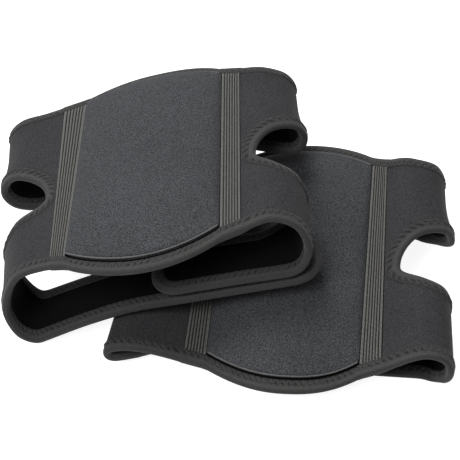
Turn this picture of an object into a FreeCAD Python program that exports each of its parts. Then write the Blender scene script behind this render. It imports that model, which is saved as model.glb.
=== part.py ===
import FreeCAD, Part
import math
import os

# A pair of sleeve knee pads, laid fronts up, the left pad leaning on the right pad.
# Millimetres, +Z up, floor at z = 0, origin under the middle of the pair.
# Each pad is a padded panel between two webbing strips, with a wing on each side that a notch
# splits into a thigh strap and a calf strap. The straps curl under the pad and overlap there.
#
# A pad is drawn on a sheet that is ruled between its two end sections. A place on the sheet is
# (u, y): u runs round the leg from the panel's centre line, positive towards the side with the
# long straps, and y runs along the leg from the near end. The sheet is mid-thickness of the
# neoprene, and its normal points away from the leg.

# ---- driving dimensions ----
PAD_LENGTH = 204.0          # along the leg, at the webbing strips
PANEL_HALF = 57.5           # centre line to the webbing's inner edge
WEBBING_WIDTH = 15.0
NEOPRENE = 5.0
EDGE_BOW = 18.0             # how far the panel's end edges bow out between the webbings
WING_DIP = 7.0              # how far the wings' end edges dip in
DIP_END = 150.0             # where that dip ends, measured like u

FOAM_CROWN = 12.0
FOAM_RIM = 0.9
COVER = 3.0
COVER_MARGIN = 10.6         # edge of the panel to the edge of the cover
WEBBING = 1.6

BINDING = 1.2               # tape thickness
BINDING_COVER = 9.0         # how far the folded tape reaches in from an edge
FIT = 0.2                   # clearance between pieces that are sewn together
WEBBING_FIT = 0.35

STRAP_WIDTH = 47.0          # on the run under the pad
TIP_RADIUS = 20.0
LAYER_STEP = 9.4            # long strap to the short strap that lies on it
HOOK = 1.0
HOOK_LENGTH = 60.0
LOOP_LENGTH = 75.0
PATCH_MARGIN = 11.0         # edge of a strap to the edge of its patch
PATCH_RADIUS = 12.0

HINGE_GAP = 0.6             # half the gap where a strap meets its wing
AXIS_OUT = 0.5              # hinge axis beyond the binding

FLOOR = 3.7                 # height of the lowest strap's mid-thickness
STEP = 8.0                  # spacing of the sections that a piece is swept through
PAIR_CENTRE = (-5.0, -31.0)   # middle of the pair's box

SEAM = PANEL_HALF + WEBBING_WIDTH / 2
WEBBING_OUTER = PANEL_HALF + WEBBING_WIDTH
NOTCH_APEX = WEBBING_OUTER + BINDING_COVER + 0.5

# ---- how each pad lies ----
# An end section lists, for each side, the webbing, the top of the curl, its outermost point and
# its lowest point, as (distance from the centre line, height), then the long straps' run.
# A notch is its centre along the leg and how far it opens towards the near and the far end.
# "strap" is the length over which the straps narrow, and how far they move in from the pad's end.
PADS = {
    "left": {
        "long_side": -1,
        "place": (-61.0, -116.0),
        "yaw": 0.0,
        "lean": 0.13,
        "thigh": "near",
        "notch": (87.0, 19.0, 43.0),
        "near": {
            "centre": 87.0,
            "long": [(65, 72), (75, 68), (105, 24), (80, 2.6)],
            "short": [(65, 104), (92, 113), (118, 82), (101, 66.3)],
            "run": [(42, 21), (12, 32.5), (-30, 42), (-129, 63.5)],
            "short_tip": -4.0,
            "strap": (42.0, 0.0),
        },
        "far": {
            "centre": 64.0,
            "long": [(65, 49), (86, 43), (118, 20), (86, 3)],
            "short": [(65, 84), (88, 88), (111, 70), (97, 58)],
            "run": [(42, 17), (10, 30.5), (-30, 39), (-114, 50.5)],
            "short_tip": -4.0,
            "strap": (85.0, 0.0),
        },
    },
    "right": {
        "long_side": 1,
        "place": (38.0, -156.0),
        "yaw": -5.5,
        "lean": -0.11,
        "thigh": "far",
        "notch": (93.0, 19.0, 38.0),
        "near": {
            "centre": 19.0,
            "long": [(65, 22), (104, 42), (121, 28), (108, 1)],
            "short": [(65, 17.5), (123, 22), (130.5, 15.8), (123, 9.6)],
            "run": [(60, 0), (0, 0), (-60, 0), (-98, 0)],
            "short_tip": -4.0,
            "strap": (42.0, 17.0),
        },
        "far": {
            "centre": 31.0,
            "long": [(65, 44), (88, 53), (112, 32), (96, 1)],
            "short": [(65, 22), (104, 24.4), (112, 16.9), (104, 9.6)],
            "run": [(60, 0), (0, 0), (-60, 0), (-98, 0)],
            "short_tip": -4.0,
            "strap": (42.0, 0.0),
        },
    },
}


# ---- end sections ----
def quarter(start, end):
    """Point half way round the quarter ellipse that leaves start level or reaches end upright."""
    reach = math.sqrt(0.5)
    flat, upright = (start, end) if abs(end[0]) > abs(start[0]) else (end, start)
    x = flat[0] + (upright[0] - flat[0]) * reach
    z = upright[1] + (flat[1] - upright[1]) * reach
    return (x, z)


def side_points(points):
    webbing, top, outermost, lowest = points
    return [webbing, top, quarter(top, outermost), outermost, quarter(outermost, lowest), lowest]


def above_run(run, x):
    """Height of a short strap that lies on the long strap's run at x."""
    for (x0, z0), (x1, z1) in zip(run, run[1:]):
        if min(x0, x1) <= x <= max(x0, x1):
            slope = (z1 - z0) / (x1 - x0)
            return z0 + slope * (x - x0) + LAYER_STEP * math.sqrt(1 + slope * slope)
    raise ValueError("no run under this place")


def end_points(end):
    """All points of an end section, from the short straps' tip to the long straps' tip."""
    long_side = side_points(end["long"]) + end["run"]
    short_side = [(-x, z) for x, z in side_points(end["short"])]
    low_x = short_side[-1][0]
    for share in (0.33, 0.66, 1.0):
        x = low_x + (end["short_tip"] - low_x) * share
        short_side.append((x, above_run(end["run"], x)))
    return short_side[::-1] + [(0.0, end["centre"])] + long_side


SIDE_COUNT = 6              # points of a side before its run
SHORT_COUNT = SIDE_COUNT + 3


class Pad:
    """One pad's sheet."""

    def __init__(self, name, data):
        self.name = name
        self.data = data
        self.side = data["long_side"]
        self.ends = [end_points(data["near"]), end_points(data["far"])]
        self.knots = self.measure()
        self.slopes = [self.tangents(points) for points in self.ends]
        self.hinge = {"long": self.knots[SHORT_COUNT + 4], "short": self.knots[SHORT_COUNT - 4]}
        self.tip = {"long": self.knots[-1], "short": self.knots[0]}

    def measure(self):
        """Distance of each section point from the centre, averaged over the two ends."""
        steps = []
        for i in range(len(self.ends[0]) - 1):
            spans = [math.dist(points[i], points[i + 1]) for points in self.ends]
            steps.append(sum(spans) / 2)
        knots = [0.0]
        for step in steps:
            knots.append(knots[-1] + step)
        return [knot - knots[SHORT_COUNT] for knot in knots]

    def tangents(self, points):
        result = []
        last = len(points) - 1
        for i in range(last + 1):
            rates = []
            for a, b in ((i - 1, i), (i, i + 1)):
                if a >= 0 and b <= last:
                    span = self.knots[b] - self.knots[a]
                    rates.append((span, [(points[b][k] - points[a][k]) / span for k in (0, 1)]))
            if len(rates) == 1:
                result.append(rates[0][1])
                continue
            if i in (SHORT_COUNT - SIDE_COUNT, SHORT_COUNT + SIDE_COUNT):
                run_rate = rates[0 if i < SHORT_COUNT else 1][1]
                result.append(run_rate)
                continue
            (span0, rate0), (span1, rate1) = rates
            total = span0 + span1
            result.append([(rate0[k] * span1 + rate1[k] * span0) / total for k in (0, 1)])
        return result

    def section(self, end, u):
        """(distance from the centre line, height) on one end section."""
        points, slopes = self.ends[end], self.slopes[end]
        i = 0
        while i < len(points) - 2 and u > self.knots[i + 1]:
            i += 1
        span = self.knots[i + 1] - self.knots[i]
        t = (u - self.knots[i]) / span
        a = 2 * t**3 - 3 * t**2 + 1
        b = (t**3 - 2 * t**2 + t) * span
        c = 3 * t**2 - 2 * t**3
        d = (t**3 - t**2) * span
        return [
            a * points[i][k] + b * slopes[i][k] + c * points[i + 1][k] + d * slopes[i + 1][k]
            for k in (0, 1)
        ]

    def at(self, u, y):
        near_x, near_z = self.section(0, u)
        far_x, far_z = self.section(1, u)
        v = y / PAD_LENGTH
        x = self.side * (near_x + (far_x - near_x) * v)
        z = near_z + (far_z - near_z) * v
        along = y + self.data["lean"] * z
        yaw = math.radians(self.data["yaw"])
        x0, y0 = self.data["place"]
        return FreeCAD.Vector(
            x0 + x * math.cos(yaw) - along * math.sin(yaw) - PAIR_CENTRE[0],
            y0 + x * math.sin(yaw) + along * math.cos(yaw) - PAIR_CENTRE[1],
            z + FLOOR,
        )

    def normal(self, u, y):
        step = 0.5
        round_leg = self.at(u + step, y) - self.at(u - step, y)
        along_leg = self.at(u, y + step) - self.at(u, y - step)
        return (along_leg.cross(round_leg) * -self.side).normalize()

    def lift(self, u, y, height):
        return self.at(u, y) + self.normal(u, y) * height

    # edges of the pad, as y at a given u
    def near_edge(self, u):
        u = abs(u)
        if u < PANEL_HALF:
            return -EDGE_BOW * (1 - (u / PANEL_HALF) ** 2)
        share = min(1.0, (u - PANEL_HALF) / (DIP_END - PANEL_HALF))
        return WING_DIP * math.sin(math.pi * share)

    def far_edge(self, u):
        return PAD_LENGTH - self.near_edge(u)

    def hinge_axis(self, side):
        """Two points of the line that a strap opens about."""
        u = self.hinge[side]
        out = NEOPRENE / 2 + FIT + BINDING + AXIS_OUT
        lift = self.normal(u, PAD_LENGTH / 2) * (out if side == "long" else -out)
        return self.at(u, 0) + lift, self.at(u, PAD_LENGTH) + lift


# ---- solids ----
def rail(points, knots=None):
    if len(points) == 2:
        return Part.LineSegment(points[0], points[1]).toShape()
    curve = Part.BSplineCurve()
    curve.interpolate(Points=points, Parameters=knots)
    return curve.toShape()


def ruled(start, end):
    same_way = 1
    return Part.makeRuledSurface(start, end, same_way)


def sweep_knots(sections):
    """Distance along a sweep at each section, so that every rail keeps the same pace."""
    knots = [0.0]
    for before, after in zip(sections, sections[1:]):
        steps = [a.distanceToPoint(b) for a, b in zip(before[0], after[0])]
        steps += [a.distanceToPoint(b) for a, b in zip(before[1], after[1])]
        knots.append(knots[-1] + sum(steps) / len(steps))
    return knots


def band(sections, creases=()):
    """Solid between two sheets, swept through sections that each list both sheets' points."""
    stops = [0, *creases, len(sections) - 1]
    count = len(sections[0][0])
    faces = []
    for first, last in zip(stops, stops[1:]):
        run = sections[first:last + 1]
        knots = sweep_knots(run)
        sheets = [
            [rail([section[sheet][k] for section in run], knots) for k in range(count)]
            for sheet in (0, 1)
        ]
        for rails in sheets:
            faces += [ruled(a, b) for a, b in zip(rails, rails[1:])]
        for k in (0, -1):
            faces.append(ruled(sheets[0][k], sheets[1][k]))
    for outer, inner in (sections[0], sections[-1]):
        for k in range(count - 1):
            faces.append(ruled(rail(outer[k:k + 2]), rail(inner[k:k + 2])))
    sewn = Part.makeCompound(faces)
    sewn.sewShape()
    solid = Part.makeSolid(sewn.Shells[0])
    if solid.Volume < 0:
        solid.reverse()
    return solid


def spread(start, end, step=STEP):
    count = max(2, math.ceil(abs(end - start) / step))
    return [start + (end - start) * i / count for i in range(count + 1)]


def mix(a, b, share):
    return a + (b - a) * share


def slab(pad, lines, low, high, count=2, creases=()):
    """Flat piece between two heights over the sheet. Each line joins two (u, y) places."""
    sections = []
    for (u0, y0), (u1, y1) in lines:
        places = [(mix(u0, u1, k / (count - 1)), mix(y0, y1, k / (count - 1))) for k in range(count)]
        outer = [pad.lift(u, y, high) for u, y in places]
        inner = [pad.lift(u, y, low) for u, y in places]
        sections.append((outer, inner))
    return band(sections, creases)


def folded(pad, places):
    """Tape folded over an edge. Each place is (u, y) on the edge and the way in from it."""
    inner = NEOPRENE / 2 + FIT
    outer = inner + BINDING
    sections = []
    for (u, y), (in_u, in_y) in places:
        section = []
        for height, edge in ((outer, -FIT - BINDING), (inner, -FIT)):
            depths = [mix(BINDING_COVER, edge, share) for share in (0, 0.35, 0.7, 1)]
            way = [(u + in_u * depth, y + in_y * depth) for depth in depths]
            face = [pad.lift(*place, height) for place in way]
            back = [pad.lift(*place, -height) for place in way[::-1]]
            section.append(face + back)
        sections.append(tuple(section))
    return band(sections)


# ---- wing and strap outlines ----
def notch_place(pad, side, angle, half):
    """Place on a notch's edge: a quarter ellipse from the apex (0) to the hinge line (90)."""
    sign = 1 if side == "long" else -1
    centre = pad.data["notch"][0]
    length = abs(pad.hinge[side]) - HINGE_GAP - NOTCH_APEX
    u = NOTCH_APEX + length * (1 - math.cos(math.radians(angle)))
    y = centre + half * math.sin(math.radians(angle))
    return (sign * u, y)


def wing_lines(pad, side):
    """Lines across a C-shaped wing, from its outer edge to its notch, and its two corners."""
    sign = 1 if side == "long" else -1
    centre, near_half, far_half = pad.data["notch"]
    hinge = abs(pad.hinge[side]) - HINGE_GAP
    seam = SEAM + FIT / 2
    count = 16
    lines = []
    for end, edge, half in (("near", pad.near_edge, -near_half), ("far", pad.far_edge, far_half)):
        part = []
        for i in range(count + 1):
            u = mix(hinge, seam, i / count)
            part.append(((sign * u, edge(u)), notch_place(pad, side, mix(90, 40, i / count), half)))
        corner_y = edge(seam)
        for i in range(1, count):
            share = i / count
            place = (sign * seam, mix(corner_y, centre, share))
            part.append((place, notch_place(pad, side, mix(40, 0, share), half)))
        lines.append(part)
    middle = ((sign * seam, centre), notch_place(pad, side, 0, near_half))
    near, far = lines
    return near + [middle] + far[::-1], (count, 3 * count)


def strap_edges(pad, side, end, u):
    """Outer and inner edge of a strap, as y, at a distance u from the centre line."""
    centre, near_half, far_half = pad.data["notch"]
    taper, inset = pad.data[end]["strap"]
    share = min(1.0, max(0.0, (u - abs(pad.hinge[side])) / taper))
    share = share * share * (3 - 2 * share)
    inner = STRAP_WIDTH + inset
    if end == "near":
        return pad.near_edge(u) + inset * share, mix(centre - near_half, inner, share)
    return pad.far_edge(u) - inset * share, mix(centre + far_half, PAD_LENGTH - inner, share)


def strap_stations(first, tip, radius):
    """(u, how far the edges are pulled in, turn of the edge) from a strap's start to its tip."""
    stations = [(u, 0.0, 0.0) for u in spread(first, tip - radius)]
    for angle in (15, 30, 45, 60, 75, 87):
        turn = math.radians(angle)
        pull = radius * (1 - math.cos(turn))
        stations.append((tip - radius + radius * math.sin(turn), pull, turn))
    return stations


def strap_lines(pad, side, end, inset=0.0, length=None, radius=TIP_RADIUS):
    """Lines across a strap, from its start, or length before its tip, to its rounded tip."""
    sign = 1 if side == "long" else -1
    inward = 1 if end == "near" else -1
    tip = abs(pad.tip[side]) - inset
    first = tip - length if length else abs(pad.hinge[side]) + HINGE_GAP
    lines = []
    for u, pull, _ in strap_stations(first, tip, radius):
        outer, inner = strap_edges(pad, side, end, u)
        shift = inward * (inset + pull)
        lines.append(((sign * u, outer + shift), (sign * u, inner - shift)))
    return lines


def strap_rim(pad, side, end):
    """Places round a strap's edge and the way in, from the hinge line round the tip and back."""
    sign = 1 if side == "long" else -1
    inward = 1 if end == "near" else -1
    tip = abs(pad.tip[side])
    stations = strap_stations(abs(pad.hinge[side]) + HINGE_GAP, tip, TIP_RADIUS)
    lines = strap_lines(pad, side, end)
    outer, inner = [], []
    for (_, _, turn), (outer_place, inner_place) in zip(stations, lines):
        in_u, in_y = -sign * math.sin(turn), inward * math.cos(turn)
        outer.append((outer_place, (in_u, in_y)))
        inner.append((inner_place, (in_u, -in_y)))
    across = [
        ((sign * tip, mix(outer_place[1], inner_place[1], share)), (-sign, 0.0))
        for share in (0.25, 0.5, 0.75)
    ]
    return outer + across + inner[::-1]


# ---- pieces of one pad ----
def cushion_height(u, y, near, far):
    """Foam thickness: full in the middle, down to a thin rim at the cover's edge."""
    across = min(1.0, abs(u) / (PANEL_HALF - 1))
    along = min(1.0, abs(2 * (y - near) / (far - near) - 1))
    dome = (1 - across**3) ** 0.75 * (1 - along**4) ** 0.6
    return FOAM_RIM + FOAM_CROWN * dome


def cushion_stack(pad, levels):
    """Solid between two levels of the cushion over the panel, as (foam share, added height)."""
    half = PANEL_HALF - 0.3
    count = 17
    sections = []
    for i in range(25):
        u = half * math.sin(math.radians(mix(-90, 90, i / 24)))
        near = pad.near_edge(u) + COVER_MARGIN
        far = pad.far_edge(u) - COVER_MARGIN
        ways = []
        for share, extra in levels:
            way = []
            for k in range(count):
                y = mix(near, far, 0.5 - 0.5 * math.cos(math.pi * k / (count - 1)))
                height = NEOPRENE / 2 + FIT + extra + share * cushion_height(u, y, near, far)
                way.append(pad.lift(u, y, height))
            ways.append(way)
        sections.append(tuple(ways))
    return band(sections)


def cover(pad):
    return cushion_stack(pad, ((1, FIT + COVER), (1, FIT)))


def foam(pad):
    return cushion_stack(pad, ((1, 0), (0, 0)))


def liner(pad):
    us = spread(-SEAM + FIT / 2, SEAM - FIT / 2, 4.0)
    lines = [((u, pad.near_edge(u)), (u, pad.far_edge(u))) for u in us]
    return slab(pad, lines, -NEOPRENE / 2, NEOPRENE / 2)


def webbing(pad, side):
    sign = 1 if side == "long" else -1
    margin = BINDING_COVER + 0.5
    us = spread(sign * (PANEL_HALF + FIT), sign * WEBBING_OUTER, 3.0)
    lines = [((u, pad.near_edge(u) + margin), (u, pad.far_edge(u) - margin)) for u in us]
    low = NEOPRENE / 2 + WEBBING_FIT
    return slab(pad, lines, low, low + WEBBING)


def wing(pad, side):
    lines, corners = wing_lines(pad, side)
    return slab(pad, lines, -NEOPRENE / 2, NEOPRENE / 2, count=7, creases=corners)


def strap(pad, side, end):
    return slab(pad, strap_lines(pad, side, end), -NEOPRENE / 2, NEOPRENE / 2)


def end_binding(pad, end):
    """Binding of the panel's and wings' edge at one end, from hinge line to hinge line."""
    edge, inward = (pad.near_edge, 1) if end == "near" else (pad.far_edge, -1)
    start = pad.hinge["short"] + HINGE_GAP
    stop = pad.hinge["long"] - HINGE_GAP
    return folded(pad, [((u, edge(u)), (0.0, inward)) for u in spread(start, stop, 4.0)])


def notch_binding(pad, side):
    sign = 1 if side == "long" else -1
    _, near_half, far_half = pad.data["notch"]
    places = []
    for angle in range(-90, 91, 6):
        half = far_half if angle > 0 else near_half
        u, y = notch_place(pad, side, abs(angle), math.copysign(half, angle))
        length = abs(pad.hinge[side]) - HINGE_GAP - NOTCH_APEX
        turn = math.radians(angle)
        in_u, in_y = -half * math.cos(turn), length * math.sin(turn)
        size = math.hypot(in_u, in_y)
        places.append(((u, y), (sign * in_u / size, in_y / size)))
    return folded(pad, places)


def strap_binding(pad, side, end):
    return folded(pad, strap_rim(pad, side, end))


def hook_patch(pad, end):
    """Hook tape on the leg side of a long strap's tip."""
    lines = strap_lines(pad, "long", end, PATCH_MARGIN, HOOK_LENGTH, PATCH_RADIUS)
    low = -NEOPRENE / 2 - FIT
    return slab(pad, lines, low - HOOK, low)


def loop_patch(pad, end):
    """Loop tape on the outside of a short strap's tip."""
    lines = strap_lines(pad, "short", end, PATCH_MARGIN, LOOP_LENGTH, PATCH_RADIUS)
    low = NEOPRENE / 2 + FIT
    return slab(pad, lines, low, low + HOOK)


def on_floor(shape):
    """Flatten what the pad's weight presses on the floor."""
    box = shape.BoundBox
    if box.ZMin > 0.5:
        return shape
    size = 800.0
    below = Part.makeBox(size, size, 50.0, FreeCAD.Vector(-size / 2, -size / 2, -50.0))
    return shape.cut(below).Solids[0]


def pad_pieces(pad):
    """Every piece of one pad, by node name."""
    thigh = pad.data["thigh"]
    calf = "far" if thigh == "near" else "near"
    pieces = {"cover": cover(pad), "foam": foam(pad), "liner": liner(pad)}
    for side in ("long", "short"):
        pieces[f"{side}_side_webbing"] = webbing(pad, side)
        pieces[f"{side}_side_wing"] = wing(pad, side)
        pieces[f"{side}_side_notch_binding"] = notch_binding(pad, side)
    for part, end in (("thigh", thigh), ("calf", calf)):
        pieces[f"{part}_edge_binding"] = end_binding(pad, end)
        pieces[f"{part}_hook_patch"] = hook_patch(pad, end)
        pieces[f"{part}_loop_patch"] = loop_patch(pad, end)
        for side in ("long", "short"):
            pieces[f"{part}_{side}_strap"] = strap(pad, side, end)
            pieces[f"{part}_{side}_strap_binding"] = strap_binding(pad, side, end)
    return {f"{pad.name}_{node}": on_floor(shape) for node, shape in pieces.items()}


def main():
    os.makedirs("parts", exist_ok=True)
    for name, data in PADS.items():
        pad = Pad(name, data)
        for node, shape in pad_pieces(pad).items():
            shape.exportStep(f"parts/{node}.step")
        for side in ("long", "short"):
            start, end = pad.hinge_axis(side)
            print(name, side, "hinge axis", tuple(start), tuple(end))


main()
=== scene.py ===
"""The looks of a pair of sleeve knee pads, laid fronts up, the left pad leaning on the right pad.

Metres, +Z up, floor at z = 0. Each pad is drawn on a sheet that is ruled between its two end sections,
as in the CAD model. A place on the sheet is (u, y): u runs round the leg from the panel's centre line,
positive towards the side with the long straps, and y runs along the leg from the near end. The sheet
is mid-thickness of the neoprene, and its normal points away from the leg.
"""

import math

import bmesh
import bpy
import numpy as np
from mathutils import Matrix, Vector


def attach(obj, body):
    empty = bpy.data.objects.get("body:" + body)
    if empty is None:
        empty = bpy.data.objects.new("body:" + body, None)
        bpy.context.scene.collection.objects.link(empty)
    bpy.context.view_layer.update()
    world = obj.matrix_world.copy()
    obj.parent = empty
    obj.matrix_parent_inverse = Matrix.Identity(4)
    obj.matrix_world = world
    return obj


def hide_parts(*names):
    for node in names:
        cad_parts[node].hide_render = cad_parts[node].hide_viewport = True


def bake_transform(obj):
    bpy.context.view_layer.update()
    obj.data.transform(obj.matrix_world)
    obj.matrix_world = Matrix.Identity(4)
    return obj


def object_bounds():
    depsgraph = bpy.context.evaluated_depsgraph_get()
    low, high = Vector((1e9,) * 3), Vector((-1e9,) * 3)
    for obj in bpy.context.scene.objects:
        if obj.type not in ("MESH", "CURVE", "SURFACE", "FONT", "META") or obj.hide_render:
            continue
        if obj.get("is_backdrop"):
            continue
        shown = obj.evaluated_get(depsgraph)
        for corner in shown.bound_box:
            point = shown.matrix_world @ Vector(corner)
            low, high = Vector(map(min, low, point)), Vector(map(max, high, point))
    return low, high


# ---- the pads' dimensions ----
PAD_LENGTH = 0.204
PANEL_HALF = 0.0575
WEBBING_WIDTH = 0.015
NEOPRENE = 0.005
EDGE_BOW = 0.018
WING_DIP = 0.007
DIP_END = 0.150

FOAM_CROWN = 0.012
FOAM_RIM = 0.0009
COVER = 0.003
COVER_MARGIN = 0.0106
WEBBING = 0.0016

BINDING_COVER = 0.009
FIT = 0.0002

STRAP_WIDTH = 0.047
TIP_RADIUS = 0.020
LAYER_STEP = 0.0094
HOOK = 0.0010
HOOK_LENGTH = 0.060
LOOP_LENGTH = 0.075
PATCH_MARGIN = 0.011
PATCH_RADIUS = 0.012

RIBS = 7                   # of an elastic strip
FLARE = 0.0065             # how far a wing springs outwards beside its notch
FLARE_LENGTH = 0.024
FLOOR = 0.0037
PAIR_CENTRE = (-0.005, -0.031)

SEAM = PANEL_HALF + WEBBING_WIDTH / 2
WEBBING_OUTER = PANEL_HALF + WEBBING_WIDTH
NOTCH_APEX = WEBBING_OUTER + BINDING_COVER + 0.0005
SKIN = NEOPRENE / 2
CUSHION_HALF = PANEL_HALF - 0.0003
CUSHION_BASE = SKIN + FIT

# ---- the folded binding tape ----
# Depths are from the pad's edge inwards, heights from the sheet outwards.
TAPE_STEP = 0.0009
TAPE_HEIGHT = SKIN + 0.0009
FOLD_HEIGHT = 0.0021
FOLD_START = 0.0008
FOLD_DEPTH = 0.0018
TUCK = 0.0052                      # depth at which the cloth ends inside the tape
STITCH_PITCH = 0.0048
STITCH_NEAR, STITCH_FAR = 0.0044, 0.0076
EDGE_PUCKER, NOTCH_PUCKER = 0.0010, 0.0025
THREAD_WIDTH, THREAD_HEIGHT = 0.00062, 0.0005
THREAD_SIDES = 5

# ---- how each pad lies ----
# An end section lists, for each side, the webbing, the top of the curl, its outermost point and its
# lowest point, as (distance from the centre line, height), then the long straps' run. "short_tip" is
# where the short straps end, and "strap" is the length over which the straps narrow, and how far they
# move in from the pad's end. "notch" is its centre along the leg and its reach to the near and far end.
# "turn" is the stretch over which the long side's wing bends when the pad is opened.
PADS = {
    "left": {
        "long_side": -1,
        "place": (-0.061, -0.116),
        "yaw": 0.0,
        "lean": 0.13,
        "thigh": "near",
        "notch": (0.087, 0.019, 0.043),
        "near": {
            "centre": 0.087,
            "long": [(0.065, 0.072), (0.075, 0.068), (0.105, 0.024), (0.080, 0.0026)],
            "short": [(0.065, 0.104), (0.092, 0.113), (0.118, 0.082), (0.101, 0.0663)],
            "run": [(0.042, 0.021), (0.012, 0.0325), (-0.030, 0.042), (-0.129, 0.0635)],
            "short_tip": -0.004,
            "strap": (0.042, 0.000),
        },
        "far": {
            "centre": 0.064,
            "long": [(0.065, 0.049), (0.086, 0.043), (0.118, 0.020), (0.086, 0.003)],
            "short": [(0.065, 0.084), (0.088, 0.088), (0.111, 0.070), (0.097, 0.058)],
            "run": [(0.042, 0.017), (0.010, 0.0305), (-0.030, 0.039), (-0.114, 0.0505)],
            "short_tip": -0.004,
            "strap": (0.085, 0.000),
        },
        "turn": ((0.0, 0.0, 0.051), (0.0, 0.0, 0.028)),
        "peel": (("thigh", "left_thigh_short_strap"), ("calf", "left_calf_short_strap")),
    },
    "right": {
        "long_side": 1,
        "place": (0.038, -0.156),
        "yaw": -5.5,
        "lean": -0.11,
        "thigh": "far",
        "notch": (0.093, 0.019, 0.038),
        "near": {
            "centre": 0.019,
            "long": [(0.065, 0.022), (0.104, 0.042), (0.121, 0.028), (0.108, 0.001)],
            "short": [(0.065, 0.0175), (0.123, 0.022), (0.1305, 0.0158), (0.123, 0.0096)],
            "run": [(0.060, 0.0), (0.0, 0.0), (-0.060, 0.0), (-0.098, 0.0)],
            "short_tip": -0.004,
            "strap": (0.042, 0.017),
        },
        "far": {
            "centre": 0.031,
            "long": [(0.065, 0.044), (0.088, 0.053), (0.112, 0.032), (0.096, 0.001)],
            "short": [(0.065, 0.022), (0.104, 0.0244), (0.112, 0.0169), (0.104, 0.0096)],
            "run": [(0.060, 0.0), (0.0, 0.0), (-0.060, 0.0), (-0.098, 0.0)],
            "short_tip": -0.004,
            "strap": (0.042, 0.000),
        },
        "turn": ((0.071, 0.0, -0.041), (0.101, 0.0, -0.0583)),
        "peel": (("thigh", "right_thigh_short_strap"),),
    },
}

SIDE_COUNT = 6
SHORT_COUNT = SIDE_COUNT + 3


# ---- end sections ----
def quarter(start, end):
    """Point half way round the quarter ellipse that leaves start level or reaches end upright."""
    reach = math.sqrt(0.5)
    flat, upright = (start, end) if abs(end[0]) > abs(start[0]) else (end, start)
    x = flat[0] + (upright[0] - flat[0]) * reach
    z = upright[1] + (flat[1] - upright[1]) * reach
    return (x, z)


def side_points(points):
    webbing, top, outermost, lowest = points
    return [webbing, top, quarter(top, outermost), outermost, quarter(outermost, lowest), lowest]


def above_run(run, x):
    """Height of a short strap that lies on the long strap's run at x."""
    for (x0, z0), (x1, z1) in zip(run, run[1:]):
        if min(x0, x1) <= x <= max(x0, x1):
            slope = (z1 - z0) / (x1 - x0)
            return z0 + slope * (x - x0) + LAYER_STEP * math.sqrt(1 + slope * slope)
    raise ValueError("no run under this place")


def end_points(end):
    """All points of an end section, from the short straps' tip to the long straps' tip."""
    long_side = side_points(end["long"]) + end["run"]
    short_side = [(-x, z) for x, z in side_points(end["short"])]
    low_x = short_side[-1][0]
    for share in (0.33, 0.66, 1.0):
        x = low_x + (end["short_tip"] - low_x) * share
        short_side.append((x, above_run(end["run"], x)))
    return short_side[::-1] + [(0.0, end["centre"])] + long_side


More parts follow.
